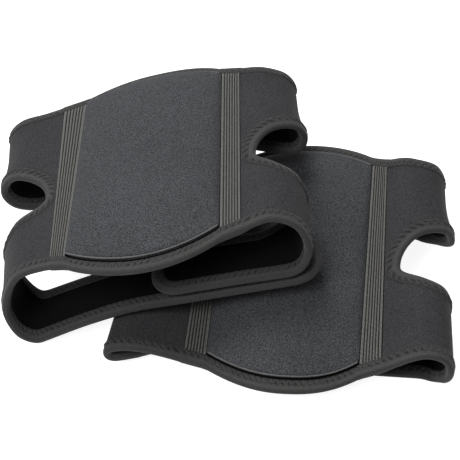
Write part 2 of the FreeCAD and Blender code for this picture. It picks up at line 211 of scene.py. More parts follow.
class Pad:
    """One pad's sheet. Places may be numbers or arrays."""

    def __init__(self, name, data):
        self.name = name
        self.data = data
        self.side = data["long_side"]
        self.ends = [np.array(end_points(data[end])) for end in ("near", "far")]
        self.knots = self.measure()
        self.slopes = [self.tangents(points) for points in self.ends]
        self.hinge = {"long": self.knots[SHORT_COUNT + 4], "short": self.knots[SHORT_COUNT - 4]}
        self.tip = {"long": self.knots[-1], "short": self.knots[0]}

    def measure(self):
        """Distance of each section point from the centre, averaged over the two ends."""
        spans = [np.linalg.norm(np.diff(points, axis=0), axis=1) for points in self.ends]
        knots = np.concatenate([[0.0], np.cumsum((spans[0] + spans[1]) / 2)])
        return knots - knots[SHORT_COUNT]

    def tangents(self, points):
        spans = np.diff(self.knots)[:, None]
        rates = np.diff(points, axis=0) / spans
        inner = (rates[:-1] * spans[1:] + rates[1:] * spans[:-1]) / (spans[:-1] + spans[1:])
        result = np.vstack([rates[:1], inner, rates[-1:]])
        result[SHORT_COUNT - SIDE_COUNT] = rates[SHORT_COUNT - SIDE_COUNT - 1]
        result[SHORT_COUNT + SIDE_COUNT] = rates[SHORT_COUNT + SIDE_COUNT]
        return result

    def section(self, end, u):
        """Distance from the centre line and height on one end section."""
        points, slopes = self.ends[end], self.slopes[end]
        i = np.clip(np.searchsorted(self.knots, u) - 1, 0, len(self.knots) - 2)
        span = (self.knots[i + 1] - self.knots[i])[..., None]
        t = (u - self.knots[i])[..., None] / span
        return (
            (2 * t**3 - 3 * t**2 + 1) * points[i]
            + (t**3 - 2 * t**2 + t) * span * slopes[i]
            + (3 * t**2 - 2 * t**3) * points[i + 1]
            + (t**3 - t**2) * span * slopes[i + 1]
        )

    def flare(self, u, y):
        """Outward spring of the wings' far lobes, where the notch frees them."""
        centre, _, far_half = self.data["notch"]
        hinge = np.where(u > 0, abs(self.hinge["long"]), abs(self.hinge["short"]))
        round_leg = 1 - ((np.abs(u) - hinge) / (hinge - WEBBING_OUTER)) ** 2
        along_leg = np.exp(-(((y - centre - 0.8 * far_half) / FLARE_LENGTH) ** 2))
        return np.sign(u) * FLARE * np.maximum(round_leg, 0) ** 2 * along_leg

    def at(self, u, y):
        u, y = np.broadcast_arrays(np.asarray(u, float), np.asarray(y, float))
        v = (y / PAD_LENGTH)[..., None]
        across = self.section(0, u) * (1 - v) + self.section(1, u) * v
        x, z = self.side * (across[..., 0] + self.flare(u, y)), across[..., 1]
        along = y + self.data["lean"] * z
        yaw = math.radians(self.data["yaw"])
        x0, y0 = self.data["place"]
        return np.stack(
            [
                x0 + x * math.cos(yaw) - along * math.sin(yaw) - PAIR_CENTRE[0],
                y0 + x * math.sin(yaw) + along * math.cos(yaw) - PAIR_CENTRE[1],
                z + FLOOR,
            ],
            axis=-1,
        )

    def normal(self, u, y):
        step = 0.0005
        round_leg = self.at(u + step, y) - self.at(u - step, y)
        along_leg = self.at(u, y + step) - self.at(u, y - step)
        normal = np.cross(along_leg, round_leg) * -self.side
        return normal / np.linalg.norm(normal, axis=-1, keepdims=True)

    def lift(self, u, y, height):
        """The place's point, moved off the sheet. Nothing presses below the floor."""
        u, y = np.broadcast_arrays(np.asarray(u, float), np.asarray(y, float))
        point = self.at(u, y) + self.normal(u, y) * np.asarray(height, float)[..., None]
        point[..., 2] = np.maximum(point[..., 2], 0.0)
        return point

    def near_edge(self, u):
        """y of the near edge: bowed out between the webbings, dipped in along the wings."""
        u = np.abs(u)
        bow = -EDGE_BOW * (1 - (u / PANEL_HALF) ** 2)
        share = np.clip((u - PANEL_HALF) / (DIP_END - PANEL_HALF), 0, 1)
        return np.where(u < PANEL_HALF, bow, WING_DIP * np.sin(math.pi * share))

    def far_edge(self, u):
        return PAD_LENGTH - self.near_edge(u)

    def edge(self, end, u):
        return self.near_edge(u) if end == "near" else self.far_edge(u)


# ---- mesh helpers ----
def mix(a, b, share):
    return a + (b - a) * share


def smooth(share):
    share = np.clip(share, 0, 1)
    return share * share * (3 - 2 * share)


def spaced(start, end, step):
    """Evenly spaced numbers from start to end, about step apart."""
    return np.linspace(start, end, max(3, math.ceil(abs(end - start) / step) + 1))


def new_object(name, points, faces, material, cloth=None):
    """Mesh object. cloth holds each point's place on the flat cloth, for weaves that follow it."""
    mesh = bpy.data.meshes.new(name)
    mesh.from_pydata(np.asarray(points).reshape(-1, 3).tolist(), [], faces)
    if cloth is not None:
        layer = mesh.uv_layers.new(name="cloth")
        corners = np.zeros(len(mesh.loops), np.int32)
        mesh.loops.foreach_get("vertex_index", corners)
        layer.data.foreach_set("uv", np.asarray(cloth, np.float32).reshape(-1, 2)[corners].ravel())
    tidy = bmesh.new()
    tidy.from_mesh(mesh)
    bmesh.ops.recalc_face_normals(tidy, faces=tidy.faces)
    tidy.to_mesh(mesh)
    tidy.free()
    mesh.shade_smooth()
    mesh.set_sharp_from_angle(angle=math.radians(50))
    mesh.materials.append(material)
    made = bpy.data.objects.new(name, mesh)
    bpy.context.scene.collection.objects.link(made)
    return made


def loft_faces(count, size, ring=False, first=0):
    """Faces of a closed skin through count loops of size points each."""
    faces = []
    for i in range(count if ring else count - 1):
        a, b = first + i * size, first + (i + 1) % count * size
        faces += [(a + k, a + (k + 1) % size, b + (k + 1) % size, b + k) for k in range(size)]
    if not ring:
        for start in (first, first + (count - 1) * size):
            faces += [
                (start + k, start + k + 1, start + size - 2 - k, start + size - 1 - k)
                for k in range(size // 2 - 1)
            ]
    return faces


def loft(name, loops, material, cloth=None, ring=False):
    """Closed skin through loops, an array of (loop, point, xyz)."""
    count, size = loops.shape[:2]
    return new_object(name, loops, loft_faces(count, size, ring), material, cloth)


def slab(name, pad, u, y, low, high, material):
    """Closed flat piece over a grid of places, between two heights over the sheet."""
    loops = np.concatenate([pad.lift(u, y, high), pad.lift(u, y, low)[:, ::-1]], axis=1)
    cloth = np.stack([u, y], axis=-1)
    cloth = np.concatenate([cloth, cloth[:, ::-1]], axis=1)
    made = loft(name, loops, material, cloth)
    # inside is 1 on the face towards the leg, where the knits paint their shade.
    inside = np.concatenate([np.zeros(u.shape), np.ones(u.shape)], axis=1)
    layer = made.data.attributes.new("inside", "FLOAT", "POINT")
    layer.data.foreach_set("value", inside.ravel())
    return made


def frame_along(path):
    """Unit steps along a line of points."""
    step = np.gradient(path, axis=0)
    return step / np.linalg.norm(step, axis=1, keepdims=True)


def tube(path, up, wide, tall, sides=6):
    """Loops of a thread or cord along a path. up points away from the cloth."""
    ahead = frame_along(path)
    out = np.cross(ahead, up)
    out /= np.linalg.norm(out, axis=1, keepdims=True)
    rise = np.cross(out, ahead)
    angle = (np.arange(sides) + 0.5) * 2 * math.pi / sides
    return (
        path[:, None]
        + out[:, None] * (np.cos(angle) * wide / 2)[None, :, None]
        + rise[:, None] * (np.sin(angle) * tall / 2)[None, :, None]
    )


def run_length(places):
    """Distance along a line of (u, y) places to each of them."""
    return np.concatenate([[0.0], np.cumsum(np.linalg.norm(np.diff(places, axis=0), axis=1))])


def resample(places, step):
    """Places spread evenly along a line of (u, y) places, with the distance to each."""
    reach = run_length(places)
    at = spaced(0.0, reach[-1], step)
    return np.stack([np.interp(at, reach, places[:, k]) for k in (0, 1)], axis=-1), at


# ---- materials ----
def colour(level, tint=(1.0, 1.0, 1.0)):
    return (level * tint[0], level * tint[1], level * tint[2], 1.0)


COOL = (0.955, 0.985, 1.06)
VIOLET = (0.99, 0.985, 1.05)
NEUTRAL = (1.0, 1.0, 0.985)
WARM = (1.01, 1.01, 0.95)
# Level of the lining and of each piece's inside face: painted shade, far darker than the cloth, standing in
# for the shadow inside the pad.
SHADED_LINING = 0.0025


class Shader:
    """A node tree with the links that every material here needs."""

    def __init__(self, name, roughness, sheen=0.0, sheen_roughness=0.5, specular=0.08):
        self.material = bpy.data.materials.new(name)
        self.material.use_nodes = True
        self.tree = self.material.node_tree
        self.surface = self.tree.nodes["Principled BSDF"]
        self.surface.inputs["Roughness"].default_value = roughness
        self.surface.inputs["Specular IOR Level"].default_value = specular
        self.surface.inputs["Sheen Weight"].default_value = sheen
        self.surface.inputs["Sheen Roughness"].default_value = sheen_roughness
        self.place = self.node("ShaderNodeTexCoord").outputs["Object"]
        self.cloth = self.node("ShaderNodeUVMap", uv_map="cloth").outputs["UV"]

    def node(self, kind, **settings):
        made = self.tree.nodes.new(kind)
        for name, value in settings.items():
            setattr(made, name, value)
        return made

    def link(self, start, end):
        self.tree.links.new(start, end)

    def noise(self, scale, detail=2.0, roughness=0.5, vector=None):
        made = self.node("ShaderNodeTexNoise")
        made.inputs["Scale"].default_value = scale
        made.inputs["Detail"].default_value = detail
        made.inputs["Roughness"].default_value = roughness
        self.link(vector or self.place, made.inputs["Vector"])
        return made.outputs["Fac"]

    def wave(self, pitch, direction, vector=None):
        """Ridges that repeat every pitch metres."""
        made = self.node("ShaderNodeTexWave", bands_direction=direction)
        made.inputs["Scale"].default_value = math.pi / (10 * pitch)
        self.link(vector or self.cloth, made.inputs["Vector"])
        return made.outputs["Fac"]

    def maths(self, operation, a, b):
        made = self.node("ShaderNodeMath", operation=operation)
        for socket, value in zip(made.inputs, (a, b)):
            if isinstance(value, (int, float)):
                socket.default_value = value
            else:
                self.link(value, socket)
        return made.outputs["Value"]

    def ramp(self, value, stops):
        made = self.node("ShaderNodeValToRGB")
        elements = made.color_ramp.elements
        for element, (place, shade) in zip(elements, (stops[0], stops[-1])):
            element.position, element.color = place, shade
        for place, shade in stops[1:-1]:
            elements.new(place).color = shade
        self.link(value, made.inputs["Fac"])
        return made.outputs["Color"]

    def blend(self, share, a, b, mode="MIX"):
        made = self.node("ShaderNodeMix", data_type="RGBA", blend_type=mode)
        for socket, value in zip((made.inputs[0], made.inputs[6], made.inputs[7]), (share, a, b)):
            if isinstance(value, (int, float, tuple)):
                socket.default_value = value
            else:
                self.link(value, socket)
        return made.outputs[2]

    def bump(self, height, depth, strength=1.0, under=None):
        made = self.node("ShaderNodeBump")
        made.inputs["Distance"].default_value = depth
        made.inputs["Strength"].default_value = strength
        self.link(height, made.inputs["Height"])
        if under is not None:
            self.link(under, made.inputs["Normal"])
        return made.outputs["Normal"]

    def finish(self, base, normal=None, roughness=None):
        self.link(base, self.surface.inputs["Base Color"])
        if normal is not None:
            self.link(normal, self.surface.inputs["Normal"])
        if roughness is not None:
            self.link(roughness, self.surface.inputs["Roughness"])
        return self.material


def knit(name, level, tint, grain, sheen, lining=None):
    """Fine jersey over neoprene: small bright and dark loops, slight cloudiness, and painted shade on the
    inside face.
    """
    shader = Shader(name, 0.85, sheen, 0.35)
    loops = shader.noise(1150.0, 0.5, 0.5)
    specks = shader.noise(800.0, 1.0, 0.5)
    clouds = shader.noise(26.0, 2.0, 0.5)
    wales = shader.wave(0.0009, "X")
    courses = shader.wave(0.0011, "Y")
    knitted = shader.maths("MULTIPLY", wales, courses)
    dark, light = 1 - grain, 1 + grain
    stops = ((0.33, dark), (0.5, 1.0), (0.67, light))
    grained = shader.ramp(loops, [(place, colour(level * share, tint)) for place, share in stops])
    speckled = shader.blend(
        shader.maths("MULTIPLY", specks, 0.35), grained, colour(level * 1.18, tint)
    )
    clouded = shader.blend(
        1.0, speckled, shader.ramp(clouds, [(0.3, colour(0.9)), (0.7, colour(1.0))]), "MULTIPLY"
    )
    # The inside face, towards the leg, is painted dark as shade.
    if lining is not None:
        inside = shader.node("ShaderNodeAttribute", attribute_name="inside").outputs["Fac"]
        clouded = shader.blend(inside, clouded, colour(lining, WARM))
    normal = shader.bump(knitted, 0.00012, 0.6)
    normal = shader.bump(loops, 0.00022, 0.7, normal)
    rough = shader.maths("ADD", shader.maths("MULTIPLY", specks, 0.2), 0.75)
    return shader.finish(clouded, normal, rough)


def woven(name, level, tint, ribs=None):
    """Ribbed elastic: fine picks across the ribs, painted shade between the ribs and a painted highlight on
    their tops.
    """
    shader = Shader(name, 0.8, 0.06, 0.4)
    picks = shader.wave(0.0011, "Y")
    threads = shader.noise(1100.0, 1.0, 0.6)
    shade = shader.maths("ADD", shader.maths("MULTIPLY", picks, 0.5), shader.maths("MULTIPLY", threads, 0.5))
    base = shader.ramp(shade, [(0.3, colour(level * 0.35, tint)), (0.72, colour(level * 1.6, tint))])
    if ribs:
        # Painted shade in the gaps between the ribs and a painted highlight on their crests.
        rib_shade_and_highlight = shader.ramp(shader.wave(ribs, "X"), [(0.08, colour(0.06)), (0.5, colour(1.3))])
        base = shader.blend(1.0, base, rib_shade_and_highlight, "MULTIPLY")
    normal = shader.bump(picks, 0.0003, 0.8)
    normal = shader.bump(threads, 0.0002, 0.6, normal)
    return shader.finish(base, normal)


def stitched_tape(name, level, tint):
    """Folded binding tape: fibre, a painted highlight on its roll and painted shade in the stitched hollows.
    """
    shader = Shader(name, 0.82, 0.08, 0.4)
    fibre = shader.noise(1300.0, 2.0, 0.65)
    depth = shader.node("ShaderNodeSeparateXYZ")
    shader.link(shader.cloth, depth.inputs[0])
    depth = shader.maths("DIVIDE", depth.outputs["Y"], BINDING_COVER)
    line = shader.ramp(
        depth,
        [(0.36, colour(0.0)), (0.56, colour(1.0)), (0.76, colour(1.0)), (0.95, colour(0.1))],
    )
    # Painted shade in the hollows between the stitch puckers, along the stitch line.
    ribs = shader.wave(STITCH_PITCH, "X")
    hollow_shade = shader.ramp(ribs, [(0.05, colour(0.75)), (0.7, colour(0.0))])
    hollow_shade = shader.maths("MULTIPLY", line, hollow_shade)
    # The tape is painted lighter on its roll near the fold, a painted highlight, and darker away from it,
    # painted shade.
    roll = shader.ramp(
        depth, [(0.0, colour(0.80)), (0.2, colour(1.18)), (0.5, colour(0.92)), (1.0, colour(0.85))]
    )
    base = shader.ramp(fibre, [(0.28, colour(level * 0.66, tint)), (0.74, colour(level * 1.34, tint))])
    base = shader.blend(1.0, base, roll, "MULTIPLY")
    base = shader.blend(hollow_shade, base, colour(level * 0.2, tint))
    return shader.finish(base, shader.bump(fibre, 0.0003, 0.8))


def tape(name, level, tint):
    """Thread and cut edges: fibre and slight cloudiness."""
    shader = Shader(name, 0.82, 0.08, 0.4)
    fibre = shader.noise(1300.0, 2.0, 0.65)
    patches = shader.noise(160.0, 1.0, 0.5)
    base = shader.ramp(fibre, [(0.28, colour(level * 0.66, tint)), (0.74, colour(level * 1.34, tint))])
    base = shader.blend(
        1.0, base, shader.ramp(patches, [(0.3, colour(0.86)), (0.7, colour(1.0))]), "MULTIPLY"
    )
    return shader.finish(base, shader.bump(fibre, 0.0003, 0.8))


def pile(name, level, tint, scale, depth):
    """Hook or loop face: rough tufts."""
    shader = Shader(name, 0.9, 0.1, 0.5)
    tufts = shader.noise(scale, 2.0, 0.7)
    base = shader.ramp(tufts, [(0.35, colour(level * 0.35, tint)), (0.66, colour(level * 1.9, tint))])
    return shader.finish(base, shader.bump(tufts, depth, 1.0))


def make_materials():
    return {
        "cushion_fabric": knit("cushion_knit", 0.045, COOL, 0.6, 0.04),
        "wing_neoprene": knit("wing_knit", 0.031, VIOLET, 0.45, 0.03, SHADED_LINING),
        "strap_neoprene": knit("strap_knit", 0.031, VIOLET, 0.45, 0.03, SHADED_LINING),
        # The lining's whole colour is painted shade.
        "lining": knit("lining_knit", SHADED_LINING, WARM, 0.5, 0.01),
        "elastic_webbing": woven("elastic_weave", 0.076, WARM, WEBBING_WIDTH / RIBS),
        "selvage": woven("selvage_weave", 0.13, WARM),
        "binding_tape": stitched_tape("binding_weave", 0.041, NEUTRAL),
        "thread": tape("thread_fibre", 0.085, NEUTRAL),
        "hook_tape": pile("hook_face", 0.007, WARM, 900.0, 0.0006),
        "loop_tape": pile("loop_face", 0.012, WARM, 1300.0, 0.0005),
        # The cut edge's light colour is a painted highlight.
        "cut_edge": tape("cut_edge_fabric", 0.11, NEUTRAL),
    }


# ---- cushion ----
def cushion_height(u, y, near, far):
    """Foam thickness: full in the middle, down to a thin rim at the cover's edge."""
    across = np.clip(np.abs(u) / (PANEL_HALF - 0.001), 0, 1)
    along = np.clip(np.abs(2 * (y - near) / (far - near) - 1), 0, 1)
    dome = (1 - across**2.1) ** 0.75 * (1 - along**3.4) ** 0.7
    return FOAM_RIM + FOAM_CROWN * dome


def cushion_grid(rows, columns):
    """Places over the panel, closer together near its edges."""
    u = CUSHION_HALF * np.sin(np.linspace(-math.pi / 2, math.pi / 2, columns))[:, None]
    near = -EDGE_BOW * (1 - (u / PANEL_HALF) ** 2) + COVER_MARGIN
    far = PAD_LENGTH - near
    share = (1 - np.cos(math.pi * np.linspace(0, 1, rows)))[None, :] / 2
    return np.broadcast_to(u, (columns, rows)), near + (far - near) * share, near, far


def cushion(pad, material):
    """Crowned foam under its knitted cover, closed at the rim and pulled down to the seams."""
    columns, rows = 65, 97
    u, y, near, far = cushion_grid(rows, columns)
    height = CUSHION_BASE + FIT + COVER + cushion_height(u, y, near, far)
    to_side = (CUSHION_HALF - np.abs(u)) / 0.0035
    to_end = np.minimum(y - near, far - y) / 0.0020
    side_drop, end_drop = 0.0022, 0.0012
    rounding = np.sqrt(1 - (1 - np.clip(to_side, 0, 1)) ** 2) * side_drop
    rounding = rounding - side_drop + (np.sqrt(1 - (1 - np.clip(to_end, 0, 1)) ** 2) - 1) * end_drop
    top = pad.lift(u, y, height + rounding)
    inset = 0.00035
    shrink = 1 - inset / CUSHION_HALF
    bottom = pad.lift(u * shrink, near + inset + (y - near) * (1 - 2 * inset / (far - near)), CUSHION_BASE)
    loops = np.concatenate([top, bottom[:, ::-1]], axis=1)
    cloth = np.stack([u, y], axis=-1)
    cloth = np.concatenate([cloth, cloth[:, ::-1]], axis=1)
    made = loft(f"{pad.name}_cushion_cover", loops, material, cloth)
    puff(made, columns, rows, 0.0025)
    return made


def puff(made, columns, rows, most):
    """Inflates the cushion's top as cloth over its foam, by most at the most, its rim held."""
    rest = np.array([v.co for v in made.data.vertices], float).reshape(-1, 3)
    held = made.vertex_groups.new(name="held")
    index = np.arange(columns * 2 * rows).reshape(columns, 2 * rows)
    free = np.zeros(index.shape, bool)
    free[2:-2, 2 : rows - 2] = True
    held.add(index[~free].tolist(), 1.0, "REPLACE")
    cloth = made.modifiers.new("cloth", "CLOTH")
    cloth.settings.quality = 5
    cloth.settings.mass = 0.2
    cloth.settings.use_pressure = True
    cloth.settings.uniform_pressure_force = 1.5
    cloth.settings.vertex_group_mass = "held"
    cloth.settings.effector_weights.gravity = 0.0
    scene = bpy.context.scene
    for frame in range(1, 21):
        scene.frame_set(frame)
    shown = made.evaluated_get(bpy.context.evaluated_depsgraph_get())
    puffed = np.array([v.co for v in shown.data.vertices], float).reshape(-1, 3)
    made.modifiers.remove(cloth)
    made.vertex_groups.remove(held)
    moved = puffed - rest
    far = np.linalg.norm(moved, axis=1, keepdims=True)
    moved *= np.minimum(1.0, most / np.maximum(far, 1e-9))
    made.data.vertices.foreach_set("co", (rest + moved).ravel())
    made.data.update()
    scene.frame_set(1)


def cover_edges(pad, material):
    """The cover's cut edge, a thin raised line along each end of the cushion, painted light as a highlight
    where it catches the light.
    """
    u = spaced(-CUSHION_HALF + 0.0012, CUSHION_HALF - 0.0012, 0.002)
    for end, sign in (("near", 1), ("far", -1)):
        y = pad.edge(end, u) + sign * (COVER_MARGIN - 0.0002)
        height = CUSHION_BASE + FOAM_RIM + COVER - 0.0009
        loops = tube(pad.lift(u, y, np.full(u.shape, height)), pad.normal(u, y), 0.0013, 0.0014)
        yield loft(f"{pad.name}_{part_of(pad, end)}_cover_edge", loops, material)


def part_of(pad, end):
    """thigh or calf: which part of the leg this end of the pad goes round."""
    if end == pad.data["thigh"]:
        return "thigh"
    return "calf"


# ---- panel liner and webbing ----
def liner(pad, material):
    """The neoprene panel under the cushion, from seam to seam."""
    u = spaced(-SEAM, SEAM, 0.0025)[:, None]
    share = np.linspace(0, 1, 61)[None, :]
    y = mix(pad.near_edge(u) + TUCK, pad.far_edge(u) - TUCK, share)
    return slab(f"{pad.name}_liner_knit", pad, np.broadcast_to(u, y.shape), y, -SKIN, SKIN, material)


def webbing(pad, side, material, edge_material):
    """Ribbed elastic strip over the seam of panel and wing, its ends tucked under the bindings."""
    sign = 1 if side == "long" else -1
    across = np.linspace(0, 1, RIBS * 10 + 1)
    rib = np.abs(np.sin(math.pi * RIBS * across)) ** 0.6
    u = sign * (PANEL_HALF + 0.0002 + across * (WEBBING_WIDTH - 0.0002))[:, None]
    tuck = 0.003
    share = np.linspace(0, 1, 171)[None, :]
    start, stop = pad.near_edge(u) + BINDING_COVER - tuck, pad.far_edge(u) - BINDING_COVER + tuck
    y = mix(start, stop, share)
    to_end = np.minimum(y - start, stop - y)
    flat = 0.0009
    rise = flat + (WEBBING - flat) * smooth((to_end - tuck * 0.6) / 0.006)
    edge = np.minimum(across, 1 - across)[:, None]
    rounded = smooth(edge / 0.04)
    rib_height = 0.0011
    high = SKIN + rise * (0.35 + 0.65 * rounded) + rib_height * (rib[:, None] - 0.7) * rounded
    low = SKIN + 0.0001
    name = f"{pad.name}_{side}_side_elastic"
    top = pad.lift(u, y, high)
    under = pad.lift(u, y, np.full(y.shape, low))
    loops = np.concatenate([top, under[:, ::-1]], axis=1)
    cloth = np.stack([np.broadcast_to(across[:, None] * WEBBING_WIDTH, y.shape), y], axis=-1)
    cloth = np.concatenate([cloth, cloth[:, ::-1]], axis=1)
    yield loft(name, loops, material, cloth), (f"{pad.name}_{side}_side_webbing",)
    count = 161
    for label, place, wide in (("inner", 0.035, 0.0011), ("outer", 0.965, 0.0008)):
        edge_u = np.full(count, sign * (PANEL_HALF + place * WEBBING_WIDTH))
        start, stop = pad.near_edge(edge_u[0]) + BINDING_COVER, pad.far_edge(edge_u[0]) - BINDING_COVER
        edge_y = np.linspace(start, stop, count)
        beads = SKIN + WEBBING * 0.82 + 0.00015 * np.sin(np.arange(count) * math.pi * 0.5)
        path = pad.lift(edge_u, edge_y, beads)
        yield loft(
            f"{name}_{label}_selvage",
            tube(path, pad.normal(edge_u, edge_y), wide, 0.0010),
            edge_material,
            np.repeat(np.stack([edge_u, edge_y], axis=-1)[:, None], 6, axis=1),
        ), ()


# ---- wings and straps ----
def notch_place(pad, side, angle, half):
    """Place on a notch's edge: a quarter ellipse from the apex (0) to the hinge line (90)."""
    sign = 1 if side == "long" else -1
    centre = pad.data["notch"][0]
    length = abs(pad.hinge[side]) - NOTCH_APEX
    u = NOTCH_APEX + length * (1 - math.cos(math.radians(angle)))
    y = centre + half * math.sin(math.radians(angle))
    return (sign * u, y)


def wing(pad, side, material):
    """C-shaped neoprene wing, in lines from its outer edge to its notch."""
    sign = 1 if side == "long" else -1
    centre, near_half, far_half = pad.data["notch"]
    hinge = abs(pad.hinge[side])
    count = 32
    lines = []
    for end, half in (("near", -near_half), ("far", far_half)):
        part = []
        for i in range(count + 1):
            u = mix(hinge, SEAM, i / count)
            edge = float(pad.edge(end, u))
            part.append(((sign * u, edge), notch_place(pad, side, mix(90, 40, i / count), half)))
        corner = float(pad.edge(end, SEAM))
        for i in range(1, count):
            place = (sign * SEAM, mix(corner, centre, i / count))
            part.append((place, notch_place(pad, side, mix(40, 0, i / count), half)))
        lines.append(part)
    middle = ((sign * SEAM, centre), notch_place(pad, side, 0, near_half))
    lines = np.array(lines[0] + [middle] + lines[1][::-1])
    places = tucked(lines[:, 0], lines[:, 1], 25)
    name = f"{pad.name}_{side}_side_wing_knit"
    return slab(name, pad, places[..., 0], places[..., 1], -SKIN, SKIN, material)


def tucked(outer, inner, count):
    """Places across a piece whose two edges end inside their bindings."""
    share = np.linspace(0, 1, count)[None, :, None]
    reach = np.linalg.norm(inner - outer, axis=1)[:, None, None]
    share = share + (1 - 2 * share) * np.minimum(TUCK / reach, 0.3)
    return outer[:, None] * (1 - share) + inner[:, None] * share


def strap_edges(pad, side, end, u):
    """Outer and inner edge of a strap, as y, at distances u from the centre line."""
    centre, near_half, far_half = pad.data["notch"]
    taper, inset = pad.data[end]["strap"]
    share = smooth((u - abs(pad.hinge[side])) / taper)
    inner = STRAP_WIDTH + inset
    if end == "near":
        return pad.near_edge(u) + inset * share, mix(centre - near_half, inner, share)
    return pad.far_edge(u) - inset * share, mix(centre + far_half, PAD_LENGTH - inner, share)


def strap_stations(first, tip, radius):
    """(u, how far the edges are pulled in, turn of the edge) from a strap's start to its tip."""
    straight = spaced(first, tip - radius, 0.003)
    turn = np.radians(np.linspace(4, 88, 16))
    u = np.concatenate([straight, tip - radius + radius * np.sin(turn)])
    pull = np.concatenate([np.zeros(len(straight)), radius * (1 - np.cos(turn))])
    return u, pull, np.concatenate([np.zeros(len(straight)), turn])


def strap_outline(pad, side, end, inset=0.0, length=None, radius=TIP_RADIUS):
    """Both edges of a strap, as arrays of places, from its start to its rounded tip."""
    sign = 1 if side == "long" else -1
    inward = 1 if end == "near" else -1
    tip = abs(pad.tip[side]) - inset
    first = tip - length if length else abs(pad.hinge[side])
    u, pull, turn = strap_stations(first, tip, radius)
    outer, inner = strap_edges(pad, side, end, u)
    shift = inward * (inset + pull)
    return np.stack([sign * u, outer + shift], -1), np.stack([sign * u, inner - shift], -1), turn


def strap(pad, side, end, material):
    """A strap's neoprene, up to where its binding covers it."""
    outer, inner, _ = strap_outline(pad, side, end, -0.0001)
    covered = np.abs(outer[:, 0]) <= abs(pad.tip[side]) - TUCK
    places = tucked(outer[covered], inner[covered], 17)
    name = f"{pad.name}_{part_of(pad, end)}_{side}_strap_knit"
    return slab(name, pad, places[..., 0], places[..., 1], -SKIN, SKIN, material)


def strap_rim(pad, side, end):
    """Places round a strap's edge and the way in, from the hinge line round the tip and back."""
    sign = 1 if side == "long" else -1
    inward = 1 if end == "near" else -1
    outer, inner, turn = strap_outline(pad, side, end)
    way = np.stack([-sign * np.sin(turn), inward * np.cos(turn)], -1)
    share = np.linspace(0, 1, 7)[1:-1, None]
    across = outer[-1] * (1 - share) + inner[-1] * share
    across_way = np.repeat([[-sign, 0.0]], len(across), axis=0)
    back_way = way[::-1] * [1, -1]
    return np.vstack([outer, across, inner[::-1]]), np.vstack([way, across_way, back_way])


# ---- folded binding ----
def tape_height(depth):
    """Height of the folded tape's face: full over the cloth, pressed thinner towards the fold."""
    return FOLD_HEIGHT + (TAPE_HEIGHT - FOLD_HEIGHT) * smooth((depth - FOLD_START) / 0.006)


def binding_profile():
    """(depth in from the edge, height) round the folded tape's outside, then its inside."""
    rim = BINDING_COVER
    face = [(rim, SKIN + 0.0001), (rim - 0.0003, TAPE_HEIGHT - 0.0002)]
    face += [(depth, float(tape_height(depth))) for depth in np.linspace(rim - 0.0008, FOLD_START, 12)]
    turns = np.radians([22, 44, 66, 83])
    fold = [
        (FOLD_START - FOLD_DEPTH * math.sin(turn), FOLD_HEIGHT * math.cos(turn) ** 0.8) for turn in turns
    ]
    outside = face + fold
    outside = outside + [(depth, -height) for depth, height in outside[::-1]]
    inside = [(max(depth + 0.0002, FOLD_START), height * 0.45) for depth, height in outside[::-1]]
    return np.array(outside), np.array(inside)


def pucker_phase(along, depth):
    """Distance over which the puckers repeat: slanted with the zigzag, and slightly uneven."""
    return along + 0.75 * depth + 0.0006 * np.sin(along / 0.0061) + 0.0003 * np.sin(along / 0.0023)


def puckered(depth, along, pucker, bump):
    """Extra height of the tape: a soft roll at the fold, a pulled-in stitch line, ribs across it."""
    roll = 0.0005 * np.exp(-(((depth - 0.0022) / 0.0015) ** 2))
    middle = (STITCH_NEAR + STITCH_FAR) / 2
    groove = np.exp(-(((depth - middle) / 0.0023) ** 2))
    ribs = np.abs(np.sin(math.pi * pucker_phase(along, depth) / STITCH_PITCH)) ** 0.7
    return roll + bump + groove * pucker * (ribs - 0.75)


def folded(name, pad, places, ways, material, thread, pucker=EDGE_PUCKER, over_webbing=False):
    """Tape folded over an edge, puckered by its zigzag stitches, which are a piece of their own."""
    reach = run_length(places)
    both, at = resample(places, TAPE_STEP)
    way = np.stack([np.interp(at, reach, ways[:, k]) for k in (0, 1)], axis=-1)
    way /= np.linalg.norm(way, axis=1, keepdims=True)
    outside, inside = binding_profile()
    bump = np.zeros(len(at))
    if over_webbing:
        off = np.abs(np.abs(both[:, 0]) - SEAM) - WEBBING_WIDTH / 2
        bump = 0.0007 * smooth(1 - off / 0.003)
    loops, cloth = [], []
    for depth, height in outside:
        share = min(1.0, abs(height) / FOLD_HEIGHT)
        size = np.sign(height) * (abs(height) + puckered(depth, at, pucker, bump) * share)
        place = both + way * depth
        loops.append(pad.lift(place[:, 0], place[:, 1], size))
        cloth.append(np.stack([pucker_phase(at, depth), np.full(len(at), depth)], -1))
    for depth, height in inside:
        place = both + way * depth
        loops.append(pad.lift(place[:, 0], place[:, 1], np.full(len(at), height)))
        cloth.append(np.stack([at, np.full(len(at), depth)], -1))
    tape_piece = loft(name, np.stack(loops, axis=1), material, np.stack(cloth, axis=1))
    stitch_piece = stitches(f"{name}_stitches", pad, both, way, at, bump, pucker, thread)
    return tape_piece, stitch_piece


